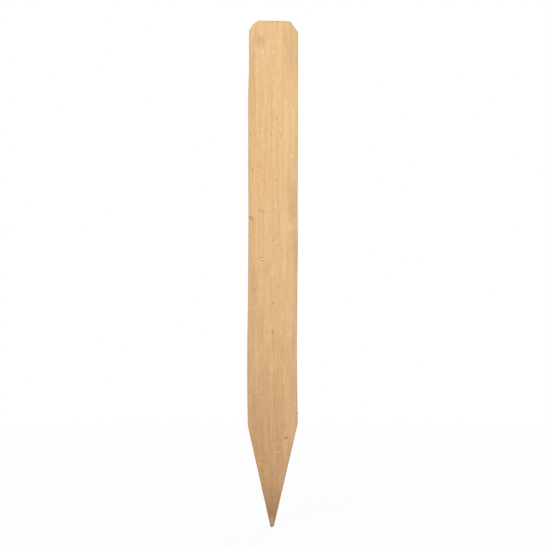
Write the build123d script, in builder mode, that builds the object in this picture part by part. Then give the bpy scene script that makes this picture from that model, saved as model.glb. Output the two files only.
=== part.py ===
from build123d import *
import os

# Plant label stake, cut from one flat strip of wood. It stands on its point, with +Z up
# the blade and the front face looking towards -Y. The origin is at the foot of the
# blade's middle line, level with the tip.

# Blade, in millimetres
stake_length = 300.0
blade_width = 29.5
blade_thickness = 5.0
edge_wander = 0.7  # how far a sawn long edge strays from a straight line
arris_radius = 0.45  # sanded edge between a face and a side

# Head: the cut across it falls to the right, and both corners are clipped
head_fall = 0.5
left_clip_width = 5.5
left_clip_height = 6.3
right_clip_width = 4.7
right_clip_height = 6.5
clip_radius = 0.6
knee_radius = 2.0  # where the left clip bends

# Point: two straight cuts that end in a narrow blunt tip
left_point_length = 59.9
right_point_length = 61.5
left_shoulder_radius = 22.0
right_shoulder_radius = 12.0
tip_width = 1.8
tip_offset = 0.35  # how far the tip lies to the left of the blade's middle line
tip_radius = 0.8

# The left clip's bend: across the clip from the side, and up it
left_knee_shares = (0.38, 0.59)

# Places along a long edge, from the shoulder to the clip: the share of its height, and
# the share of the wander by which it stands out there, or lies in where that is negative
left_edge_shares = [
    (0.00, 0.00),
    (0.05, 0.38),
    (0.11, 0.55),
    (0.22, 0.45),
    (0.33, -0.10),
    (0.46, -0.36),
    (0.54, -0.48),
    (0.64, -0.28),
    (0.75, -0.30),
    (0.84, -0.24),
    (0.87, -0.62),
    (0.90, -0.98),
    (0.95, -1.00),
    (1.00, -1.00),
]
right_edge_shares = [
    (0.00, 0.18),
    (0.04, 0.02),
    (0.11, -0.46),
    (0.25, -0.45),
    (0.39, -0.03),
    (0.46, 0.24),
    (0.54, 0.06),
    (0.66, 0.30),
    (0.85, 0.33),
    (1.00, 0.46),
]

half_width = blade_width / 2
left_edge_height = stake_length - left_clip_height - left_point_length
left_edge = [
    (-half_width - out_share * edge_wander, left_point_length + up_share * left_edge_height)
    for up_share, out_share in left_edge_shares
]

right_head_height = stake_length - head_fall
right_edge_height = right_head_height - right_clip_height - right_point_length
right_edge = [
    (half_width + out_share * edge_wander, right_point_length + up_share * right_edge_height)
    for up_share, out_share in right_edge_shares
]

# Corners of the outline, seen from the front
left_shoulder = left_edge[0]
left_clip = left_edge[-1]
left_knee = (
    left_clip[0] + left_knee_shares[0] * left_clip_width,
    left_clip[1] + left_knee_shares[1] * left_clip_height,
)
head_left = (left_clip[0] + left_clip_width, stake_length)
right_shoulder = right_edge[0]
right_clip = right_edge[-1]
head_right = (right_clip[0] - right_clip_width, right_head_height)
tip_left = (-tip_offset - tip_width / 2, 0)
tip_right = (-tip_offset + tip_width / 2, 0)

rounded_corners = [
    (left_clip, clip_radius),
    (left_knee, knee_radius),
    (head_left, clip_radius),
    (head_right, clip_radius),
    (right_clip, clip_radius),
    (left_shoulder, left_shoulder_radius),
    (right_shoulder, right_shoulder_radius),
    (tip_left, tip_radius),
    (tip_right, tip_radius),
]

with BuildPart() as stake:
    with BuildSketch(Plane.XZ) as outline:
        with BuildLine():
            Spline(*left_edge)
            Polyline(left_clip, left_knee, head_left, head_right, right_clip)
            Spline(*right_edge)
            Polyline(right_shoulder, tip_right, tip_left, left_shoulder)
        make_face()
        for corner, radius in rounded_corners:
            fillet(outline.vertices().sort_by_distance(corner)[0], radius=radius)
    extrude(amount=blade_thickness / 2, both=True)

    # Both faces meet the sides in a sanded edge
    faces = stake.faces().filter_by(Axis.Y).sort_by(Axis.Y)
    fillet(faces[0].edges() + faces[-1].edges(), radius=arris_radius)

stake.part.label = "stake"

os.makedirs("parts", exist_ok=True)
export_step(stake.part, "parts/stake.step")
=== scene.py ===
import math
from collections import namedtuple

import bmesh
import bpy
from bpy.props import FloatProperty, FloatVectorProperty, PointerProperty
from bpy.types import Operator, Panel, PropertyGroup
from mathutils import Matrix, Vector, kdtree, noise


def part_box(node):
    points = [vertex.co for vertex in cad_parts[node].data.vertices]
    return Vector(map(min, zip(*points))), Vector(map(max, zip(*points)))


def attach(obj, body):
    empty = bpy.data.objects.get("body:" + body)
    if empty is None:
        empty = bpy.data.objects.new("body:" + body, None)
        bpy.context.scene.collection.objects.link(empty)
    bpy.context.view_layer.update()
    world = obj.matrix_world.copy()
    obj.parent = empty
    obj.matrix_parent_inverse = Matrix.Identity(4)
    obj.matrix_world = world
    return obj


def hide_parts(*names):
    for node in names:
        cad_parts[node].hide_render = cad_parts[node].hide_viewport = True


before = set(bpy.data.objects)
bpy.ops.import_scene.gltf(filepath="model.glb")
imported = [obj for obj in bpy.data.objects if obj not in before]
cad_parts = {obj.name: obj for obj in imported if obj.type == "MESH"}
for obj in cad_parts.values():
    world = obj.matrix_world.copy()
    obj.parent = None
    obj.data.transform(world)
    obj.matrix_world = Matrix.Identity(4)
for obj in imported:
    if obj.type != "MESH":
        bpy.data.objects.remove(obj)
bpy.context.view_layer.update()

bl_info = {
    "name": "Plant label stake",
    "version": (1, 0, 0),
    "blender": (4, 5, 0),
    "location": "3D Viewport > Sidebar > Stake",
    "description": "Models the timber of a plant label stake around its frame, and a plain stage",
    "category": "Add Mesh",
}

MM = 0.001

# The stake's box in millimetres, and where its two faces lie in it
LOW, HIGH = (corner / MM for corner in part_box("stake"))
FRONT = LOW.y
BACK = HIGH.y

# The photograph: its side and the foot of the stake's middle line in pixels, and the real
# size that a pixel covers at the front face
PHOTO_SIDE = 550
FOOT_COLUMN = 272.7
FOOT_ROW = 527.4
PIXEL = 0.5915 * MM

# A mark on a face, in millimetres from the foot of the middle line: its middle, half its
# width across the grain, half its height along it, its strength, and the depth of its pit.
# The marks of each kind run from the head down
Mark = namedtuple("Mark", "x z wide high strength depth", defaults=(0,))

# Broad darker patches of the front face
SHADES = (
    Mark(-11.2, 286, 1.6, 12, 0.5),
    Mark(10.8, 282.3, 4, 16, 0.55),
    Mark(-12.7, 252, 2.4, 46, 0.75),
    Mark(-1.2, 238, 2.6, 11, 0.35),
    Mark(-4.4, 235, 2.2, 13, 0.35),
    Mark(-6.6, 214, 1, 12, 0.45),
    Mark(12.3, 192.6, 2.1, 12.5, 1),
    Mark(-6.6, 191, 0.9, 11, 0.45),
    Mark(-14.2, 175, 2.6, 135, 0.9),
    Mark(13.2, 166, 2, 13, 0.75),
    Mark(-10.2, 143.4, 1.6, 17, 1),
    Mark(7.6, 143.4, 1.2, 12, 0.4),
    Mark(-11.6, 143, 3.6, 16, 0.95),
    Mark(-8, 119.8, 3.6, 16, 0.6),
    Mark(-10.3, 119.7, 1.3, 13, 0.9),
    Mark(-6.5, 119.7, 1.4, 13, 1),
    Mark(2.3, 90.5, 2.2, 5.3, 0.4),
    Mark(7.6, 90, 1.2, 22, 0.35),
    Mark(3.3, 75, 2.6, 12, 0.3),
    Mark(-12, 73, 3, 15, 0.45),
    Mark(-7.2, 60.6, 3.6, 10.5, 0.5),
    Mark(3.3, 53, 2, 6.5, 0.45),
    Mark(0.6, 28, 2, 12, 0.45),
    Mark(1.9, 14, 1, 12, 0.6),
)

# Warm orange lines near the left edge, and the tip's heart
EMBERS = (
    Mark(-12.95, 273.4, 0.45, 18, 0.7),
    Mark(-11.05, 273.4, 0.45, 18, 0.9),
    Mark(-12.95, 182, 0.35, 22, 0.5),
    Mark(-11.05, 182, 0.35, 22, 0.6),
    Mark(-0.5, 3.6, 0.9, 2.8, 0.6),
)

# Greyer wood in strips along the right edge and beside the left shoulder, and a thin line of painted shade,
# with some grime, along the left arris
GREYS = (
    Mark(11.5, 286, 3.2, 14, 0.3),
    # The strips at -13.9 are painted shade, with some grime, along the left arris
    Mark(-13.9, 268, 0.5, 26, 1),
    Mark(-13.9, 222, 0.5, 22, 1),
    Mark(12.6, 189, 2.4, 34, 0.55),
    Mark(-13.9, 152, 0.6, 20, 1),
    Mark(13.4, 141, 1.2, 24, 0.8),
    Mark(-10.6, 70, 3.2, 18, 0.38),
)

# Yellower strips
GOLDS = (
    Mark(-8.2, 258, 2, 20, 1),
    Mark(-7, 195, 2.6, 28, 0.45),
    Mark(-4.6, 165, 1.8, 16, 0.5),
    Mark(5.8, 163, 2.2, 16, 0.65),
    Mark(8.8, 132, 2.6, 20, 0.45),
    Mark(-4.6, 121, 1.6, 14, 0.45),
    Mark(6.1, 49, 1.5, 10, 0.6),
)

# Broad paler patches of painted sheen
SHEENS = (
    Mark(0.5, 285, 7, 18, 0.35),
    Mark(-8.4, 264, 2.4, 22, 0.55),
    Mark(3.2, 262, 2.4, 15, 0.45),
    Mark(-6.6, 238, 1.2, 10, 0.45),
    Mark(5.8, 238, 1.1, 11, 0.6),
    Mark(9.8, 236, 4.6, 16, 0.45),
    Mark(10.9, 214, 1.5, 12, 0.6),
    Mark(6.6, 213, 2.2, 14, 0.5),
    Mark(-11, 191, 2, 11, 0.55),
    Mark(-4.8, 180, 1.1, 24, 0.5),
    Mark(6.6, 178, 2, 27, 0.6),
    Mark(4, 167, 1.1, 11, 0.5),
    Mark(-2.3, 143.4, 1.8, 12, 0.7),
    Mark(9.8, 130, 2.6, 24, 0.5),
    Mark(4.8, 119.7, 3, 12, 0.5),
    Mark(-1.2, 119.7, 1, 12, 0.5),
    Mark(12.7, 96, 1.8, 11, 0.55),
    Mark(0.6, 96, 1.1, 11, 0.45),
    Mark(10.6, 67, 4.4, 20, 0.7),
    Mark(11.8, 57, 2, 9, 1),
    Mark(7, 49, 1.5, 10, 0.6),
    Mark(5.6, 27, 2.2, 12, 0.4),
)

# Pale spots and lines of painted highlight, also in dents, along the double cut and at the broken tip
GLINTS = (
    Mark(-4.4, 288.6, 0.9, 2.2, 0.16),
    Mark(-3.1, 283, 0.9, 10, 0.25),
    Mark(-5.75, 281.2, 0.8, 0.75, 1),
    Mark(0.1, 281.2, 0.65, 0.6, 0.9),
    Mark(2.85, 244.8, 0.35, 0.4, 0.6),
    Mark(1.1, 241.3, 0.35, 0.4, 0.8),
    Mark(0.9, 221.5, 1.3, 0.35, 0.55),
    Mark(11, 219.3, 0.9, 1.2, 0.45),
    Mark(8.15, 187.5, 0.35, 9.5, 0.45),
    Mark(10.4, 177.7, 1.4, 2.9, 0.45),
    Mark(-6.1, 158.5, 1.5, 0.36, 1),
    Mark(-0.6, 149.9, 1.2, 2.4, 0.25),
    Mark(-2.3, 116.8, 0.6, 10.5, 0.28),
    Mark(10.4, 115.8, 1, 7.4, 0.3),
    Mark(12.95, 100.2, 0.9, 0.35, 0.45),
    Mark(-0.75, 94.1, 0.75, 2.4, 0.4),
    Mark(6.7, 91, 0.4, 9.6, 0.4),
    Mark(-0.6, 56.5, 0.45, 6, 0.3),
    Mark(7.75, 47, 1.3, 9, 0.12),
    Mark(2.8, 44.6, 1.2, 0.5, 0.3),
    Mark(0.5, 39.5, 1, 7.8, 0.15),
    Mark(-0.5, 3.6, 1.1, 3, 0.3),
)

# Dark seams along the grain
SEAMS = (
    Mark(-10, 291.5, 0.5, 6, 0.5, 0.04),
    Mark(-5.55, 254.9, 0.3, 5.5, 0.6, 0.05),
    Mark(-1.1, 254.3, 0.32, 6.5, 0.55, 0.05),
    Mark(-1.2, 244, 0.3, 4, 0.5, 0.04),
    Mark(6.1, 240.1, 0.28, 6.5, 0.4, 0.04),
    Mark(3.6, 238.9, 0.28, 2.5, 0.5, 0.04),
    Mark(0.65, 211.4, 0.28, 2.2, 0.5, 0.04),
    Mark(-5.9, 205.9, 0.35, 2.4, 0.5, 0.04),
    Mark(9, 203.2, 0.28, 3.8, 0.45, 0.04),
    Mark(2.55, 196, 0.28, 7.5, 0.35, 0.03),
    Mark(9.6, 192, 0.4, 13.5, 0.26),
    Mark(9.75, 188.5, 0.45, 6.5, 0.55, 0.03),
    Mark(0.5, 187.9, 0.3, 1.3, 0.6, 0.05),
    Mark(-5.55, 176.8, 0.28, 15.5, 0.5, 0.05),
    Mark(-2.8, 170.9, 0.3, 5.2, 0.4, 0.04),
    Mark(-10.2, 144, 1.3, 15, 0.2),
    Mark(-7.2, 121, 1.1, 12, 0.14),
    Mark(0.2, 106.8, 0.45, 6.2, 0.45, 0.04),
    Mark(-6.3, 95.5, 0.28, 8.5, 0.35, 0.03),
    Mark(10.8, 63.4, 0.26, 2.4, 0.4, 0.03),
    Mark(7.6, 60.5, 0.28, 2.6, 0.45, 0.03),
)

# Pin knots and resin specks
PINS = (
    Mark(3.1, 299.2, 1.1, 0.45, 0.45, 0.2),
    Mark(-0.6, 298.9, 0.6, 0.4, 0.3, 0.1),
    Mark(13.4, 290.2, 0.4, 0.6, 0.35, 0.08),
    Mark(-11.95, 276.1, 0.35, 0.55, 0.28, 0.05),
    Mark(-13.55, 274.4, 0.5, 0.7, 0.35, 0.1),
    Mark(-11.95, 267.6, 0.4, 0.55, 0.3, 0.08),
    Mark(0.6, 244.3, 0.5, 0.6, 0.28, 0.05),
    Mark(2.8, 243.2, 0.3, 0.5, 0.3, 0.05),
    Mark(2.25, 242.2, 0.4, 0.6, 0.55, 0.12),
    Mark(-3.4, 234.8, 0.35, 0.45, 0.3, 0.05),
    Mark(-12.95, 232.3, 0.4, 0.8, 0.32, 0.1),
    Mark(-0.8, 232.1, 0.45, 0.4, 0.4, 0.1),
    Mark(-7.3, 225.2, 0.35, 0.6, 0.28, 0.05),
    Mark(-6.05, 223, 0.3, 0.6, 0.26, 0.05),
    Mark(3.3, 217.6, 0.45, 0.5, 0.26, 0.05),
    Mark(-8, 214.1, 1.5, 1, 0.25, 0.08),
    Mark(-6.3, 212.4, 0.85, 0.65, 0.28, 0.08),
    Mark(-11.95, 211.9, 0.5, 0.55, 0.55, 0.12),
    Mark(1.6, 205.6, 0.35, 0.75, 0.5, 0.1),
    Mark(-9, 188.2, 0.35, 0.8, 0.28, 0.05),
    Mark(-7.9, 188, 0.5, 0.6, 0.34, 0.05),
    Mark(-7.2, 187, 1, 0.5, 0.48, 0.1),
    Mark(-13.2, 183.4, 1.25, 0.85, 0.5, 0.18),
    Mark(-12.05, 182.1, 0.75, 1.1, 0.52, 0.2),
    Mark(-11.95, 179.6, 0.35, 0.9, 0.32, 0.05),
    Mark(-0.1, 169.8, 0.4, 0.55, 0.55, 0.12),
    Mark(-3.4, 146.9, 0.4, 0.35, 0.3, 0.05),
    Mark(1.9, 145.6, 0.3, 0.4, 0.3, 0.05),
    Mark(-1, 145.2, 0.35, 0.4, 0.3, 0.05),
    Mark(2.25, 142.5, 0.42, 0.6, 0.52, 0.08),
    Mark(4.1, 142.4, 0.32, 0.55, 0.36, 0.05),
    Mark(8.75, 140.4, 0.9, 1, 0.15, 0.05),
    Mark(0.15, 132.4, 0.5, 0.55, 0.7, 0.15),
    Mark(0, 115.8, 0.9, 1, 0.42, 0.12),
    Mark(1.25, 114.9, 0.6, 0.35, 0.25),
    Mark(1.85, 95.6, 0.5, 0.35, 0.25, 0.05),
    Mark(15, 67.5, 0.4, 0.4, 0.6),
    Mark(7.85, 52.9, 0.95, 0.85, 0.76, 0.15),
    Mark(5, 51.5, 0.4, 0.8, 0.2, 0.05),
)

# A brownish smudge and scuffs near the head, and a short double cut across the grain
SCUFFS = (
    Mark(-6.9, 289.2, 2.7, 1.2, 0.58, 0.03),
    Mark(-6.2, 288, 1.8, 1.9, 0.44, 0.03),
    Mark(-7, 287.8, 3.3, 3.3, 0.52, 0.02),
    Mark(-7, 286.5, 2.2, 1.3, 0.42, 0.03),
    Mark(-8.6, 285.3, 0.9, 0.7, 0.6, 0.03),
    Mark(-6.7, 280.3, 0.7, 0.3, 0.3, 0.03),
    Mark(-5.6, 275.5, 0.8, 0.4, 0.42, 0.04),
    Mark(-6.5, 159.4, 1.3, 0.45, 0.66, 0.08),
    Mark(-6.1, 157.9, 1.5, 0.3, 0.8, 0.1),
)

# Darker patches, paler patches of painted sheen, seams and pin knots of the back face
BACK_SHADES = (
    Mark(-2.6, 265, 2, 34, 0.6),
    Mark(12.4, 238, 2.8, 52, 0.7),
    Mark(5.2, 196, 3.2, 17, 0.8),
    Mark(-13, 110, 3.2, 70, 0.8),
)
BACK_SHEENS = (
    Mark(4, 256, 2.6, 30, 0.6),
    Mark(-9.4, 236, 1.8, 38, 0.6),
    Mark(-5.4, 128, 3.2, 56, 0.7),
    Mark(7.6, 96, 2.2, 44, 0.6),
)
BACK_SEAMS = (
    Mark(1.6, 281.5, 0.3, 7.5, 0.5, 0.04),
    Mark(-6.4, 230, 0.3, 15, 0.5, 0.05),
    Mark(5.4, 206.5, 0.4, 10.5, 0.6, 0.05),
    Mark(5, 185, 0.35, 9.5, 0.55, 0.05),
    Mark(-1.8, 158, 0.35, 8.5, 0.45, 0.04),
    Mark(10.2, 121, 0.3, 17, 0.5, 0.05),
    Mark(-10.4, 84, 0.3, 11, 0.45, 0.04),
)
BACK_PINS = (
    Mark(8.3, 269.5, 0.4, 0.6, 0.4, 0.08),
    Mark(-3.6, 251, 0.5, 0.7, 0.55, 0.1),
    Mark(5.2, 196, 1.15, 1.6, 0.75, 0.14),
    Mark(12.1, 160, 0.45, 0.8, 0.4, 0.08),
    Mark(-9.1, 142.5, 0.45, 0.65, 0.5, 0.1),
    Mark(-8.3, 140.9, 0.35, 0.5, 0.35, 0.06),
    Mark(1.4, 88, 0.7, 0.6, 0.6, 0.12),
    Mark(-4.6, 54.5, 0.55, 0.5, 0.45, 0.1),
)

# What a kind of mark does to the wood: the colour that it leads to, the greatest share of
# that colour, how deep it reaches in millimetres, and how far clean fibres break it up
Kind = namedtuple("Kind", "colour share reach broken")
SHADE = Kind("seam", 0.19, 2.0, 0.3)
EMBER = Kind("ember", 0.60, 1.5, 0.5)
GREY = Kind("grey", 0.20, 2.0, 0.3)
GOLD = Kind("gold", 0.12, 2.0, 0.3)
# Sheens lead to the whitish glint colour too: painted sheen
SHEEN = Kind("glint", 0.19, 2.0, 0.3)
# Glints lead to the whitish glint colour: painted highlights
GLINT = Kind("glint", 0.76, 1.0, 0.3)
SEAM = Kind("seam", 0.54, 1.0, 0.3)
SCUFF = Kind("scuff", 0.85, 0.8, 0.6)
PIN = Kind("pin", 1.00, 1.2, 0.0)

# All marks, in the order in which they are laid over the wood
Group = namedtuple("Group", "kind face marks")
GROUPS = (
    Group(SHADE, FRONT, SHADES),
    Group(EMBER, FRONT, EMBERS),
    Group(GREY, FRONT, GREYS),
    Group(GOLD, FRONT, GOLDS),
    Group(SHEEN, FRONT, SHEENS),
    Group(GLINT, FRONT, GLINTS),
    Group(SEAM, FRONT, SEAMS),
    Group(SCUFF, FRONT, SCUFFS),
    Group(PIN, FRONT, PINS),
    Group(SHADE, BACK, BACK_SHADES),
    Group(SHEEN, BACK, BACK_SHEENS),
    Group(SEAM, BACK, BACK_SEAMS),
    Group(PIN, BACK, BACK_PINS),
)

# How far out a mark is at full strength, how far out it ends, and how far out its pit does:
# 0 is its middle, and 1 is half its width or half its height away
MARK_CORE = 0.2
MARK_END = 1.4
PIT_END = 1.2

# A noise of the wood, drawn out along the grain: its waves in a millimetre across the grain
# and along it, how many times finer detail is added, and how strong that is
Grain = namedtuple("Grain", "across along detail roughness", defaults=(2.0, 0.5))
BANDS = Grain(0.12, 0.010, 1.0)
STREAKS = Grain(0.45, 0.022, 4.0, 0.70)
FIBRES = Grain(3.3, 0.24, 2.0, 0.6)
MOTTLE = Grain(0.40, 0.12)
SPECKS = Grain(1.3, 0.6, 1.0)
WARMTH = Grain(0.7, 0.020)
FLUSH = Grain(0.16, 0.016)
PORES = Grain(3.7, 0.26, 0.0)
DASHES = Grain(1.6, 0.08, 1.0)
CLEAN = Grain(2.2, 0.18)
HANDLED = Grain(0.5, 0.12)

# The noises that let the grain wander and make the marks ragged, and how far in millimetres
WANDER = Grain(0.05, 0.010, 1.0)
WANDER_REACH = (1.6, 1.6, 0.0)
FRINGE = Grain(1.3, 0.5, 1.0)
FRINGE_REACH = (0.5, 0.0, 1.0)

# How strongly each noise lightens and darkens the wood
BAND_TONE = 0.10
STREAK_TONE = 0.44
FIBRE_TONE = 0.32
MOTTLE_TONE = 0.12

# Specks of soil: how strongly they show low on the blade and high on it, and between which
# heights in millimetres that changes
SOIL_TONES = (0.60, 0.25)
SOIL_HEIGHTS = (20, 120)

# How much darker late wood, sawn wood and end grain are, and late wood on end grain
LATE_TONE = 0.05
SAWN_TONE = 0.05
END_TONE = 0.12
LATE_END_TONE = 0.17

# The trunk's middle, in millimetres from the foot of the blade's middle line, how wide a
# year's ring is, and by how many rings the broad bands bend it
PITH = Vector((-70, 35, 0))
RING = 3.2
RING_BEND = 2.5

# Where the late wood of a year begins and where it is darkest, from 0 to 1
LATE_START = 0.35
LATE_PEAK = 0.95

# The colours along the blade, from its foot at 0 to its head at 1
BLADE_COLOURS = (
    (0.00, "tip"),
    (0.09, "point"),
    (0.20, "shoulder"),
    (0.43, "middle"),
    (0.77, "head"),
    (1.00, "head"),
)

# How strongly red, green and blue light follow the tone of the wood: darker wood is browner
BROWNING = (0.70, 1.02, 1.50)

# How far pink strips lose green and gain blue, and how far yellow ones lose blue
FLUSH_GREEN = 0.11
FLUSH_BLUE = 0.12
WARMTH_BLUE = 0.27

# The noise where pores and dashes begin and where they are darkest, how dark they are, and
# how much darker pores are on end grain
PORE_RANGE = (0.62, 0.78)
DASH_RANGE = (0.66, 0.78)
PORE_SHARE = 0.20
DASH_SHARE = 0.12
END_PORES = 1.2

# The noise over which fibres turn clean, so that they take less of a mark
CLEAN_RANGE = (0.42, 0.58)

# Arrises tinted by handling: the noise over which the tint goes from its least to full, and
# the gaps to an arris, in millimetres, over which it fades
HANDLED_RANGE = (0.25, 0.65)
HANDLED_LEAST = 0.45
RUBBED_GAPS = (0.1, 0.9)

# Fine relief: its strength, its depth in millimetres, and what pores and the saw's lines
# weigh in it beside fibres
BUMP_STRENGTH = 0.45
BUMP_DEPTH = 0.06
PORE_RELIEF = 1.5
SAW_RELIEF = 0.12

# How rough the wood is, how far fibres and end grain change that, and how it shines
ROUGHNESS = 0.62
FIBRE_ROUGHNESS = 0.3
END_ROUGHNESS = 0.15
SHINE = 0.3

# Numbers that the mesh keeps at its points for the finish: the gap to the nearest arris in
# millimetres, how far the surface is sawn, not planed, and how far it shows end grain
KEPT_VALUES = ("arris_gap", "sawn", "end_grain")

# The saw's fine lines across the sides: how fast they follow each other, in radians to a
# millimetre, and how far they waver
SAW_PITCH = 5.2
SAW_WAVER = 9


def paint(red, green, blue):
    """A colour as a picture editor gives it, from 0 to 255, as amounts of light (sRGB's curve)."""
    shares = (red / 255, green / 255, blue / 255)
    return tuple(s / 12.92 if s <= 0.04045 else ((s + 0.055) / 1.055) ** 2.4 for s in shares)


class StakeTimber(PropertyGroup):
    """Sizes of the timber's surface."""

    arris: FloatProperty(
        name="Arris", description="Radius of the sanded edge between a face and a side",
        default=0.45 * MM, min=0.1 * MM, max=2 * MM, unit="LENGTH", precision=5)
    column: FloatProperty(
        name="Column", description="Spacing of the mesh across the grain",
        default=0.42 * MM, min=0.2 * MM, max=5 * MM, unit="LENGTH", precision=5)
    row: FloatProperty(
        name="Row", description="Spacing of the mesh along the grain",
        default=0.8 * MM, min=0.4 * MM, max=10 * MM, unit="LENGTH", precision=5)
    layer: FloatProperty(
        name="Layer", description="Spacing of the mesh through the thickness",
        default=0.45 * MM, min=0.2 * MM, max=2 * MM, unit="LENGTH", precision=5)
    relief: FloatProperty(
        name="Fibre relief", description="Depth of the hollows between raised fibres",
        default=0.035 * MM, min=0, max=0.5 * MM, unit="LENGTH", precision=5)
    saw_marks: FloatProperty(
        name="Saw marks", description="Depth of the saw's ripples on the sides and the ends",
        default=0.05 * MM, min=0, max=0.5 * MM, unit="LENGTH", precision=5)
    wear: FloatProperty(
        name="Wear", description="Depth of the nicks along the arrises",
        default=0.25 * MM, min=0, max=0.4 * MM, unit="LENGTH", precision=5)
    fray: FloatProperty(
        name="Fray", description="How unevenly the blunt tip is broken",
        default=0.45 * MM, min=0, max=2 * MM, unit="LENGTH", precision=5)


class StakeColours(PropertyGroup):
    """Colours of the timber."""

    head: FloatVectorProperty(
        name="Head", description="Wood near the head",
        default=paint(231, 190, 136), min=0, max=1, subtype="COLOR")
    middle: FloatVectorProperty(
        name="Middle", description="Wood at mid length",
        default=paint(223, 182, 132), min=0, max=1, subtype="COLOR")
    shoulder: FloatVectorProperty(
        name="Shoulder", description="Wood where the point begins",
        default=paint(205, 164, 118), min=0, max=1, subtype="COLOR")
    point: FloatVectorProperty(
        name="Point", description="Wood half way down the point",
        default=paint(190, 150, 107), min=0, max=1, subtype="COLOR")
    tip: FloatVectorProperty(
        name="Tip", description="Wood at the tip",
        default=paint(153, 113, 75), min=0, max=1, subtype="COLOR")
    seam: FloatVectorProperty(
        name="Seam", description="Dark seams and pores",
        default=paint(158, 108, 60), min=0, max=1, subtype="COLOR")
    # The glint colour is whitish, for painted highlights and painted sheen
    glint: FloatVectorProperty(
        name="Glint", description="Pale fibres",
        default=paint(252, 222, 184), min=0, max=1, subtype="COLOR")
    ember: FloatVectorProperty(
        name="Ember", description="Warm orange fibres",
        default=paint(214, 152, 88), min=0, max=1, subtype="COLOR")
    # Greyer wood; along the left arris the grey is painted shade with some grime
    grey: FloatVectorProperty(
        name="Grey", description="Greyer wood",
        default=paint(162, 152, 152), min=0, max=1, subtype="COLOR")
    gold: FloatVectorProperty(
        name="Gold", description="Yellower wood",
        default=paint(232, 190, 80), min=0, max=1, subtype="COLOR")
    pin: FloatVectorProperty(
        name="Pin knot", description="Pin knots and resin specks",
        default=paint(148, 90, 26), min=0, max=1, subtype="COLOR")
    scuff: FloatVectorProperty(
        name="Scuff", description="Brownish scuffs",
        default=paint(164, 118, 82), min=0, max=1, subtype="COLOR")
    rubbed: FloatVectorProperty(
        name="Rubbed", description="Tint that handling gives the arrises",
        default=(0.82, 0.88, 0.98), min=0, max=1, subtype="COLOR")


class StakeStage(PropertyGroup):
    """The camera, the lamps and the floor."""

    lens: FloatProperty(
        name="Lens", description="Focal length of the camera in millimetres",
        default=100, min=20, max=300)
    floor_side: FloatProperty(
        name="Floor", description="Side of the square floor",
        default=8.0, min=0.5, max=20, unit="LENGTH")
    surround: FloatProperty(
        name="Surround", description="Strength of the even light from all round",
        default=0.51, min=0, max=2)
    key_power: FloatProperty(
        name="Key lamp", description="Power of the soft lamp in front",
        default=36.0, min=0, max=200, unit="POWER")
    back_power: FloatProperty(
        name="Back lamp", description="Power of the soft lamp behind the stake",
        default=33.0, min=0, max=200, unit="POWER")


class Flow:
    """A number that runs through a node tree; an expression on it adds its Math nodes."""

    def __init__(self, finish, socket):
        self.finish = finish
        self.socket = socket

    def __add__(self, other):
        return self.finish.maths("ADD", self, other)

    def __sub__(self, other):
        return self.finish.maths("SUBTRACT", self, other)

    def __rsub__(self, other):
        return self.finish.maths("SUBTRACT", other, self)

    def __mul__(self, other):
        return self.finish.maths("MULTIPLY", self, other)

    __radd__ = __add__
    __rmul__ = __mul__


class Finish:
    """The node tree of a material or a world."""

    def __init__(self, owner):
        owner.use_nodes = True
        self.tree = owner.node_tree
        self.tree.nodes.clear()

    def node(self, kind, settings=None, sockets=None, output=0):
        """Add a node, set it up, give its sockets their values or links, and return an output."""
        added = self.tree.nodes.new(kind)
        for name, value in (settings or {}).items():
            setattr(added, name, value)
        for key, value in (sockets or {}).items():
            socket = self.socket(added.inputs, key)
            if isinstance(value, Flow):
                self.tree.links.new(value.socket, socket)
            else:
                socket.default_value = value
        return Flow(self, self.socket(added.outputs, output)) if added.outputs else None

    @staticmethod
    def socket(sockets, key):
        """A socket by its number or its identifier."""
        return sockets[key] if isinstance(key, int) else next(s for s in sockets if s.identifier == key)

    def maths(self, operation, *terms):
        """The result of a Math node."""
        return self.node("ShaderNodeMath", {"operation": operation}, dict(enumerate(terms)))

    def vector(self, operation, *terms, output="Vector"):
        """The result of a Vector Math node."""
        return self.node("ShaderNodeVectorMath", {"operation": operation}, dict(enumerate(terms)), output)

    def ramp(self, value, stops):
        """A colour that runs through stops, each a place from 0 to 1 and a colour."""
        ramp = self.node("ShaderNodeValToRGB", {}, {"Fac": value}, "Color")
        elements = ramp.socket.node.color_ramp.elements
        while len(elements) < len(stops):
            elements.new(1)
        for element, (position, colour) in zip(elements, stops):
            element.position = position
            element.color = (*colour, 1)
        return ramp

    def mixed(self, share, first, second):
        """The first colour with this share of the second."""
        second = second if isinstance(second, Flow) else (*second, 1)
        return self.node(
            "ShaderNodeMix", {"data_type": "RGBA", "clamp_factor": True},
            {"Factor_Float": share, "A_Color": first, "B_Color": second}, "Result_Color")

    def eased(self, value, start, end, first, last):
        """Go from first to last while the value goes from start to end, eased at both ends."""
        return self.node(
            "ShaderNodeMapRange", {"interpolation_type": "SMOOTHSTEP"},
            {"Value": value, "From Min": start, "From Max": end, "To Min": first, "To Max": last}, "Result")

    def attribute(self, name):
        """A number that the mesh keeps at each of its points."""
        return self.node("ShaderNodeAttribute", {"attribute_name": name}, output="Fac")


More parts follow.
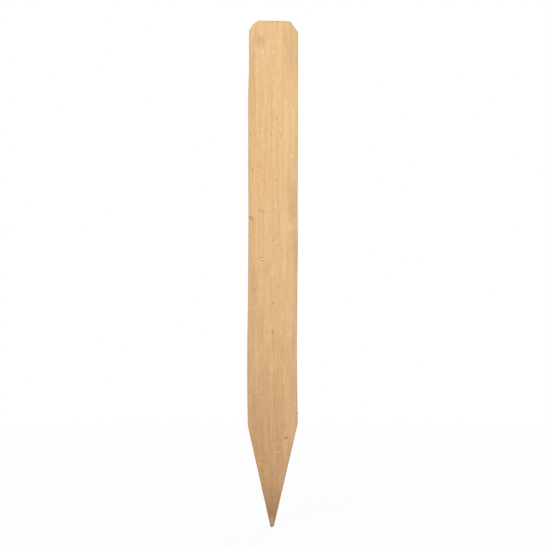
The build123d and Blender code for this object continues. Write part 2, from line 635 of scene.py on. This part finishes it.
class WoodFinish(Finish):
    """Wood's node tree, with the places and the noises that its colour and its relief share."""

    def __init__(self, material):
        super().__init__(material)
        here = self.node("ShaderNodeTexCoord", output="Object")
        self.place = self.vector("MULTIPLY", here, (1 / MM, 1 / MM, 1 / MM))
        self.height = self.node("ShaderNodeSeparateXYZ", {}, {"Vector": self.place}, "Z")
        self.grown = self.stray(self.place, WANDER, WANDER_REACH)
        self.gap, self.sawn, self.end = (self.attribute(name) for name in KEPT_VALUES)
        self.bands = self.swing(self.grown, BANDS)
        self.fibres = self.swing(self.grown, FIBRES)
        self.mottle = self.swing(self.place, MOTTLE)
        self.pores = self.eased(self.noise(self.grown, PORES), *PORE_RANGE, 0, PORE_SHARE)
        self.dashes = self.eased(self.noise(self.grown, DASHES), *DASH_RANGE, 0, DASH_SHARE)

    def noise(self, place, grain, output="Fac"):
        """A noise of the wood, from 0 to 1."""
        drawn = self.vector("MULTIPLY", place, (grain.across, grain.across, grain.along))
        return self.node(
            "ShaderNodeTexNoise", {"noise_dimensions": "3D"},
            {"Vector": drawn, "Scale": 1, "Detail": grain.detail, "Roughness": grain.roughness}, output)

    def swing(self, place, grain):
        """A noise of the wood, from -0.5 to 0.5."""
        return self.noise(place, grain) - 0.5

    def stray(self, place, grain, reach):
        """The place moved by up to half of reach, each way, by noise."""
        centred = self.vector("SUBTRACT", self.noise(place, grain, "Color"), (0.5, 0.5, 0.5))
        return self.vector("ADD", place, self.vector("MULTIPLY", centred, reach))

    def along_blade(self, colours):
        """The colour that the wood has along the blade, from the tip up."""
        stops = [(part, getattr(colours, name)) for part, name in BLADE_COLOURS]
        return self.ramp(self.height * (1 / HIGH.z), stops)

    def late_wood(self):
        """How far a place lies in the late wood of its year, from 0 to 1."""
        level = self.vector("MULTIPLY", self.grown, (1, 1, 0))
        radius = self.vector("DISTANCE", level, PITH, output="Value")
        year = self.maths("FRACT", radius * (1 / RING) + self.bands * RING_BEND)
        return self.eased(year, LATE_START, LATE_PEAK, 0, 1) * self.eased(year, LATE_PEAK, 1, 1, 0)

    def tone(self):
        """How much lighter or darker a place is than the colour along the blade."""
        streaks = self.swing(self.grown, STREAKS)
        specks = self.swing(self.place, SPECKS)
        tone = self.bands * BAND_TONE + streaks * STREAK_TONE
        tone = tone + self.fibres * FIBRE_TONE + self.mottle * MOTTLE_TONE
        tone = tone - self.late_wood() * (LATE_TONE + self.end * LATE_END_TONE)
        tone = tone - self.sawn * SAWN_TONE - self.end * END_TONE
        return tone + specks * self.eased(self.height, *SOIL_HEIGHTS, *SOIL_TONES)

    def toned(self, colour):
        """Lighten and darken a colour: dark fibres are browner, some strips yellow or pink."""
        tone = self.tone()
        flush = self.swing(self.grown, FLUSH)
        warmth = self.swing(self.grown, WARMTH)
        red, green, blue = (tone * strength for strength in BROWNING)
        tint = self.node("ShaderNodeCombineXYZ", {}, {
            "X": 1 + red,
            "Y": 1 + green - flush * FLUSH_GREEN,
            "Z": 1 + blue + flush * FLUSH_BLUE - warmth * WARMTH_BLUE}, "Vector")
        return self.vector("MULTIPLY", colour, tint)

    def pored(self, colour, dark):
        """Add the dark pores, short where they are cut along, and the longer dashes."""
        return self.mixed(self.pores * (1 + self.end * END_PORES) + self.dashes, colour, dark)

    def marked(self, colour, colours):
        """Add the marks of this stake's two faces, painted highlights and painted sheen among them."""
        ragged = self.stray(self.place, FRINGE, FRINGE_REACH)
        clean = self.eased(self.noise(self.grown, CLEAN), *CLEAN_RANGE, 0, 1)
        for kind, face, marks in GROUPS:
            share = kind.share - kind.share * kind.broken * clean
            cover = self.cover(ragged, kind, face, marks) * share
            colour = self.mixed(cover, colour, getattr(colours, kind.colour))
        return colour

    def cover(self, place, kind, face, marks):
        """How strongly marks cover a place on their face, from 0 to 1."""
        cover = 0
        for mark in marks:
            shrink = Vector((1 / mark.wide, 1 / kind.reach, 1 / mark.high))
            start = -shrink * Vector((mark.x, face, mark.z))
            local = self.vector("MULTIPLY_ADD", place, shrink, start)
            away = self.vector("LENGTH", local, output="Value")
            one = self.eased(away, MARK_CORE, MARK_END, mark.strength, 0)
            cover = self.maths("MAXIMUM", cover, one)
        return cover

    def rubbed(self, colour, tint):
        """Tint the arrises where hands have rubbed them."""
        patchy = self.eased(self.noise(self.place, HANDLED), *HANDLED_RANGE, HANDLED_LEAST, 1)
        near = self.eased(self.gap, *RUBBED_GAPS, 1, 0)
        return self.mixed(near * patchy, colour, self.vector("MULTIPLY", colour, tint))

    def relief(self):
        """Fine relief: fibres, pores, and the saw's lines across the sides."""
        teeth = self.maths("SINE", self.height * SAW_PITCH + self.mottle * SAW_WAVER)
        rise = self.fibres - self.pores * PORE_RELIEF - self.dashes
        rise = rise + teeth * self.sawn * SAW_RELIEF
        return self.node(
            "ShaderNodeBump", {},
            {"Strength": BUMP_STRENGTH, "Distance": BUMP_DEPTH * MM, "Height": rise}, "Normal")


def finish_wood(colours):
    """Bare, pale, fine-grained wood that darkens towards the point."""
    material = bpy.data.materials.new("wood")
    wood = WoodFinish(material)
    colour = wood.toned(wood.along_blade(colours))
    colour = wood.pored(colour, colours.seam)
    colour = wood.marked(colour, colours)
    colour = wood.rubbed(colour, tuple(colours.rubbed))
    roughness = ROUGHNESS + wood.fibres * FIBRE_ROUGHNESS + wood.end * END_ROUGHNESS
    surface = wood.node(
        "ShaderNodeBsdfPrincipled", {},
        {"Base Color": colour, "Roughness": roughness, "Normal": wood.relief(),
         "Specular IOR Level": SHINE}, "BSDF")
    wood.node("ShaderNodeOutputMaterial", {}, {"Surface": surface})
    return material


# How close points have to be to become one, the longest edge of a sliver, how far a bracing
# loop lies from an arris, and the turn that still counts as flat
MERGE = 0.001 * MM
SLIVER = 0.02 * MM
BRACE = 0.12 * MM
FLAT = math.radians(0.05)

# The spacing of the points that stand for the outline, the strips that round an arris, and
# how many of an arris's radii the upright cuts keep off the sides
OUTLINE_STEP = 0.1 * MM
ARRIS_STRIPS = 4
SIDE_MARGIN = 4

# How far a normal points across the blade, at least, where it is flat and where it counts as
# the front or the back, and how far it points along the blade where it is an end's
FLAT_NORMAL = 0.999
FACE_NORMAL = 0.5
END_NORMAL = 0.7

# A noise of the surface: its strength, its waves in a millimetre along each axis, and how far
# it is shifted along the blade
Wave = namedtuple("Wave", "strength x y z shift", defaults=(0,))
COARSE_FIBRES = Wave(0.4, 0.9, 0.9, 0.05)
FINE_FIBRES = Wave(0.3, 1.9, 1.9, 0.12)
EDGE_WAVES = Wave(0.35, 0.15, 1.0, 0.06)
NICKS = Wave(1, 0.8, 0.8, 0.25, 7)
RAGS = Wave(1, 1.6, 1.3, 0, 4.2)

# How deep the surface lies where its noises are level, the noise where a nick begins, and how
# fast it deepens from there
FIBRE_LEVEL = 0.5
NICK_LEVEL = 0.22
NICK_SLOPE = 1.8

# The saw's ripples: their lengths on the sides and at the ends in millimetres, their slant
# through the thickness, and how far and how fast they waver
SIDE_RIPPLE = 2.6
END_RIPPLE = 1.7
RIPPLE_SLANT = 0.9
RIPPLE_WAVER = 2.5
WAVER_PACE = 0.15

# How far from an arris its wear reaches, in millimetres
WORN = 0.6

# The broken tip: its height in millimetres, how far it is lifted at the middle line and more
# with each millimetre to the right, and how ragged it is at least and in all
TIP_HEIGHT = 2.5
TIP_LIFT = 0.35
TIP_SLOPE = 0.65
LEAST_RAGS = 0.35
RAGGED = 0.4

# Where the splinter leaves the right edge, and how far it is pulled out
SPLINTER_ROOT = Vector((14.9, -1.9, 67.5)) * MM
SPLINTER_PULL = Vector((0.25, 0, -0.3)) * MM

ACROSS = Vector((1, 0, 0))
THROUGH = Vector((0, 1, 0))
UPWARD = Vector((0, 0, 1))


def everything(timber):
    """All points, edges and faces."""
    return timber.verts[:] + timber.edges[:] + timber.faces[:]


def spaced(low, high, step):
    """Even places between two limits, about a step apart, without the limits."""
    count = round((high - low) / step)
    return [low + (high - low) * i / count for i in range(1, count)]


def slice_timber(timber, direction, places):
    """Cut the faces by planes that stand square to a direction."""
    for place in places:
        bmesh.ops.bisect_plane(
            timber, geom=everything(timber), dist=MERGE, plane_co=direction * place, plane_no=direction)


def cut_section(timber):
    """Leave one face: the section where the stake's middle plane cuts it."""
    timber.from_mesh(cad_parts["stake"].data)
    bmesh.ops.remove_doubles(timber, verts=timber.verts, dist=MERGE)
    bmesh.ops.dissolve_limit(timber, angle_limit=FLAT, verts=timber.verts, edges=timber.edges)
    bmesh.ops.bisect_plane(
        timber, geom=everything(timber), dist=MERGE, plane_co=(0, 0, 0), plane_no=THROUGH,
        clear_inner=True, clear_outer=True)
    bmesh.ops.edgeloop_fill(timber, edges=timber.edges)


def tree_of(points):
    """A search tree of points."""
    tree = kdtree.KDTree(len(points))
    for i, point in enumerate(points):
        tree.insert(point, i)
    tree.balance()
    return tree


def outline_points(timber):
    """Points along the section's edges."""
    points = []
    for edge in timber.edges:
        start, end = (vert.co for vert in edge.verts)
        count = math.ceil(edge.calc_length() / OUTLINE_STEP)
        points += [start.lerp(end, i / count) for i in range(count)]
    return points


def thicken(timber, sizes):
    """Make the section a blade of full thickness with rounded arrises."""
    half = HIGH.y * MM
    bmesh.ops.translate(timber, verts=timber.verts, vec=-THROUGH * half)
    grown = bmesh.ops.extrude_face_region(timber, geom=timber.faces[:])["geom"]
    back = [item for item in grown if isinstance(item, bmesh.types.BMVert)]
    bmesh.ops.translate(timber, verts=back, vec=THROUGH * 2 * half)
    bmesh.ops.recalc_face_normals(timber, faces=timber.faces)
    rims = [edge for edge in timber.edges if abs(edge.verts[0].co.y - edge.verts[1].co.y) < MERGE]
    bmesh.ops.bevel(
        timber, geom=rims, offset=sizes.arris, offset_type="OFFSET", segments=ARRIS_STRIPS,
        profile=0.5, affect="EDGES", material=-1)
    flats = [face for face in timber.faces if abs(face.normal.y) > FLAT_NORMAL]
    bmesh.ops.inset_region(timber, faces=flats, thickness=BRACE, use_even_offset=True)


def mesh_finely(timber, sizes):
    """Cut the blade into a fine mesh of rows, columns and layers."""
    margin = SIDE_MARGIN * sizes.arris
    flat_half = HIGH.y * MM - sizes.arris
    braces = (BRACE - flat_half, flat_half - BRACE)
    slice_timber(timber, UPWARD, spaced(0, HIGH.z * MM, sizes.row))
    slice_timber(timber, ACROSS, spaced(LOW.x * MM + margin, HIGH.x * MM - margin, sizes.column))
    slice_timber(timber, THROUGH, (*braces, *spaced(*braces, sizes.layer)))
    bmesh.ops.dissolve_degenerate(timber, dist=SLIVER, edges=timber.edges)
    bmesh.ops.recalc_face_normals(timber, faces=timber.faces)


def noise_at(place, wave):
    """What a noise of the surface adds at a place, more or less than 0."""
    local = Vector((place.x * wave.x, place.y * wave.y, place.z * wave.z + wave.shift))
    return wave.strength * noise.noise(local)


def fibre_depth(place):
    """How far the surface lies below the highest fibres, from 0 to about 1."""
    return max(0, FIBRE_LEVEL - noise_at(place, COARSE_FIBRES) - noise_at(place, FINE_FIBRES))


def saw_depth(place, outward):
    """Depth of the saw's ripples, from 0 to 1, which follow each other along a side or an end."""
    waver = RIPPLE_WAVER * noise.noise(place * WAVER_PACE)
    run = place.x / END_RIPPLE if abs(outward.z) > END_NORMAL else place.z / SIDE_RIPPLE
    return 0.5 - 0.5 * math.sin(math.tau * run + RIPPLE_SLANT * place.y + waver)


def nick_depth(place):
    """Depth of the nicks of an arris, from 0 to 1, longer along the grain than across it."""
    wave = max(0, noise_at(place, EDGE_WAVES))
    nick = max(0, noise_at(place, NICKS) - NICK_LEVEL)
    return min(1, wave + NICK_SLOPE * nick)


def work_surface(timber, outline, sizes):
    """Sink every point by fibre relief, saw marks and nicks, and keep what the finish needs."""
    layers = [timber.verts.layers.float.new(name) for name in KEPT_VALUES]
    timber.normal_update()
    sunk = []
    for vert in timber.verts:
        place = vert.co / MM
        _, _, away = outline.find((vert.co.x, 0, vert.co.z))
        gap = max(away / MM, HIGH.y - abs(place.y))
        sawn = 1 - abs(vert.normal.y)
        end = vert.normal.z ** 2
        for layer, value in zip(layers, (gap, sawn, end)):
            vert[layer] = value
        edge = max(0, 1 - gap / WORN)
        depth = sizes.relief * (1 + end) * fibre_depth(place)
        depth += sizes.saw_marks * sawn * (1 - edge) * saw_depth(place, vert.normal)
        depth += sizes.wear * edge * nick_depth(place)
        sunk.append((vert, vert.co - vert.normal * depth))
    for vert, target in sunk:
        vert.co = target


def press_marks(timber, face):
    """Sink the pits of the marks that lie on a face."""
    inward = math.copysign(1, -face)
    skin = [vert for vert in timber.verts if vert.normal.y * inward < -FACE_NORMAL]
    tree = tree_of([(vert.co.x, 0, vert.co.z) for vert in skin])
    marks = [mark for group in GROUPS if group.face == face for mark in group.marks]
    for mark in (mark for mark in marks if mark.depth):
        reach = PIT_END * max(mark.wide, mark.high)
        for _, i, _ in tree.find_range((mark.x * MM, 0, mark.z * MM), reach * MM):
            place = skin[i].co / MM
            away = math.hypot((place.x - mark.x) / mark.wide, (place.z - mark.z) / mark.high)
            skin[i].co.y += inward * mark.depth * MM * max(0, 1 - away / PIT_END)


def break_tip(timber, sizes):
    """Lift the blunt end unevenly, least at its left where the longest fibres are."""
    for vert in timber.verts:
        place = vert.co / MM
        if place.z < TIP_HEIGHT:
            lean = max(0, TIP_LIFT + TIP_SLOPE * place.x)
            ragged = max(0, LEAST_RAGS + noise_at(place, RAGS))
            vert.co.z += sizes.fray * (lean + RAGGED * ragged) * (1 - place.z / TIP_HEIGHT) ** 2


def lift_splinter(timber):
    """Pull a short splinter out of the right edge above the shoulder."""
    face = min(timber.faces, key=lambda f: (f.calc_center_median() - SPLINTER_ROOT).length)
    tuft = bmesh.ops.extrude_discrete_faces(timber, faces=[face])["faces"][0]
    bmesh.ops.translate(timber, verts=tuft.verts, vec=SPLINTER_PULL)


def shape_timber(sizes):
    """The stake's timber as a mesh in its place."""
    timber = bmesh.new()
    cut_section(timber)
    outline = tree_of(outline_points(timber))
    thicken(timber, sizes)
    mesh_finely(timber, sizes)
    work_surface(timber, outline, sizes)
    press_marks(timber, FRONT)
    press_marks(timber, BACK)
    break_tip(timber, sizes)
    lift_splinter(timber)
    for face in timber.faces:
        face.smooth = True
    mesh = bpy.data.meshes.new("stake_timber")
    timber.to_mesh(mesh)
    timber.free()
    return mesh


# How white the floor is at the stake, and between which distances from it, in metres, it
# becomes plain white
STAKE_WHITE = 0.93
FLOOR_FADE = (0.15, 0.8)

# The colours of the floor's paint and of plain light
FLOOR_PAINT = (0.9, 0.9, 0.9, 1)
WHITE = (1, 1, 1, 1)

# Where the lamps hang in metres, and the side of each
KEY_PLACE = (-0.9, -2.4, 1.2)
BACK_PLACE = (0.9, 2.4, 1.1)
LAMP_SIDE = 1.5

# The camera's sensor in millimetres, and the nearest thing that it sees in metres
SENSOR = 36
NEAREST = 0.01


def fresh_object(name, data):
    """A new object in the scene, in place of an earlier one of its name."""
    earlier = bpy.data.objects.get(name)
    if earlier:
        bpy.data.objects.remove(earlier)
    made = bpy.data.objects.new(name, data)
    bpy.context.scene.collection.objects.link(made)
    return made


def straight_view(finish):
    """1 for what the camera sees by itself, in a mirror or through glass, and 0 for light."""
    camera, glossy, through = (
        finish.node("ShaderNodeLightPath", output=name)
        for name in ("Is Camera Ray", "Is Glossy Ray", "Is Transmission Ray"))
    return finish.maths("MAXIMUM", camera, finish.maths("MAXIMUM", glossy, through))


def paint_floor():
    """Pale paint with a faint shadow at the stake, seen as white further off."""
    material = bpy.data.materials.new("floor_paint")
    floor = Finish(material)
    place = floor.node("ShaderNodeTexCoord", output="Object")
    away = floor.vector("LENGTH", place, output="Value")
    white = floor.eased(away, *FLOOR_FADE, STAKE_WHITE, 1)
    matt = floor.node("ShaderNodeBsdfDiffuse", {}, {"Color": FLOOR_PAINT}, "BSDF")
    glow = floor.node("ShaderNodeEmission", {}, {"Color": WHITE, "Strength": 1}, "Emission")
    surface = floor.node(
        "ShaderNodeMixShader", {}, {"Fac": straight_view(floor) * white, 1: matt, 2: glow}, "Shader")
    floor.node("ShaderNodeOutputMaterial", {}, {"Surface": surface})
    return material


def lay_floor(side):
    """A plain square floor."""
    sheet = bmesh.new()
    bmesh.ops.create_grid(sheet, x_segments=1, y_segments=1, size=side / 2)
    mesh = bpy.data.meshes.new("floor")
    sheet.to_mesh(mesh)
    sheet.free()
    mesh.materials.append(paint_floor())
    return fresh_object("floor", mesh)


def fill_surround(strength):
    """Even light from all round, seen as white."""
    world = bpy.data.worlds.new("studio")
    bpy.context.scene.world = world
    sky = Finish(world)
    seen = sky.eased(straight_view(sky), 0, 1, strength, 1)
    light = sky.node("ShaderNodeBackground", {}, {"Color": WHITE, "Strength": seen}, "Background")
    sky.node("ShaderNodeOutputWorld", {}, {"Surface": light})


def hang_lamp(name, place, target, power):
    """A square soft lamp that faces a target and isn't seen itself."""
    lamp = bpy.data.lights.new(name, "AREA")
    lamp.size = LAMP_SIDE
    lamp.energy = power
    holder = fresh_object(name, lamp)
    holder.location = place
    holder.rotation_euler = (Vector(target) - Vector(place)).to_track_quat("-Z", "Y").to_euler()
    holder.visible_camera = False


def aim_camera(lens):
    """Stand the camera level, where the photograph's frame just fills its view."""
    camera = bpy.data.cameras.new("camera")
    camera.lens = lens
    camera.sensor_width = SENSOR
    camera.clip_start = NEAREST
    distance = PHOTO_SIDE * PIXEL * lens / SENSOR
    middle = PHOTO_SIDE / 2
    stand = fresh_object("camera", camera)
    stand.location = ((middle - FOOT_COLUMN) * PIXEL, FRONT * MM - distance, (FOOT_ROW - middle) * PIXEL)
    stand.rotation_euler = (math.pi / 2, 0, 0)
    bpy.context.scene.camera = stand


class STAKE_OT_timber(Operator):
    """Model the stake's timber and give it its finish"""

    bl_idname = "stake.timber"
    bl_label = "Timber"

    def execute(self, context):
        mesh = shape_timber(context.scene.stake_timber)
        mesh.materials.append(finish_wood(context.scene.stake_colours))
        timber = fresh_object("stake_timber", mesh)
        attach(timber, "root")
        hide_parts("stake")
        return {"FINISHED"}


class STAKE_OT_stage(Operator):
    """Set up the floor, the lamps and the camera"""

    bl_idname = "stake.stage"
    bl_label = "Stage"

    def execute(self, context):
        stage = context.scene.stake_stage
        middle = (0, 0, HIGH.z * MM / 2)
        lay_floor(stage.floor_side)
        fill_surround(stage.surround)
        hang_lamp("key_lamp", KEY_PLACE, middle, stage.key_power)
        hang_lamp("back_lamp", BACK_PLACE, middle, stage.back_power)
        aim_camera(stage.lens)
        context.scene.view_settings.view_transform = "Standard"
        return {"FINISHED"}


class STAKE_PT_panel(Panel):
    """The stake's operators and their settings"""

    bl_idname = "STAKE_PT_panel"
    bl_label = "Plant label stake"
    bl_space_type = "VIEW_3D"
    bl_region_type = "UI"
    bl_category = "Stake"

    def draw(self, context):
        sections = (
            (STAKE_OT_timber, ("stake_timber", "stake_colours")), (STAKE_OT_stage, ("stake_stage",)))
        for operator, settings in sections:
            box = self.layout.box()
            for name in settings:
                for field in SETTINGS[name].__annotations__:
                    box.prop(getattr(context.scene, name), field)
            box.operator(operator.bl_idname)


SETTINGS = {"stake_timber": StakeTimber, "stake_colours": StakeColours, "stake_stage": StakeStage}
CLASSES = (*SETTINGS.values(), STAKE_OT_timber, STAKE_OT_stage, STAKE_PT_panel)


def register():
    for entry in CLASSES:
        bpy.utils.register_class(entry)
    for name, group in SETTINGS.items():
        setattr(bpy.types.Scene, name, PointerProperty(type=group))


def unregister():
    for name in SETTINGS:
        delattr(bpy.types.Scene, name)
    for entry in reversed(CLASSES):
        bpy.utils.unregister_class(entry)


def main():
    register()
    bpy.ops.stake.timber()
    bpy.ops.stake.stage()


if __name__ == "__main__":
    main()
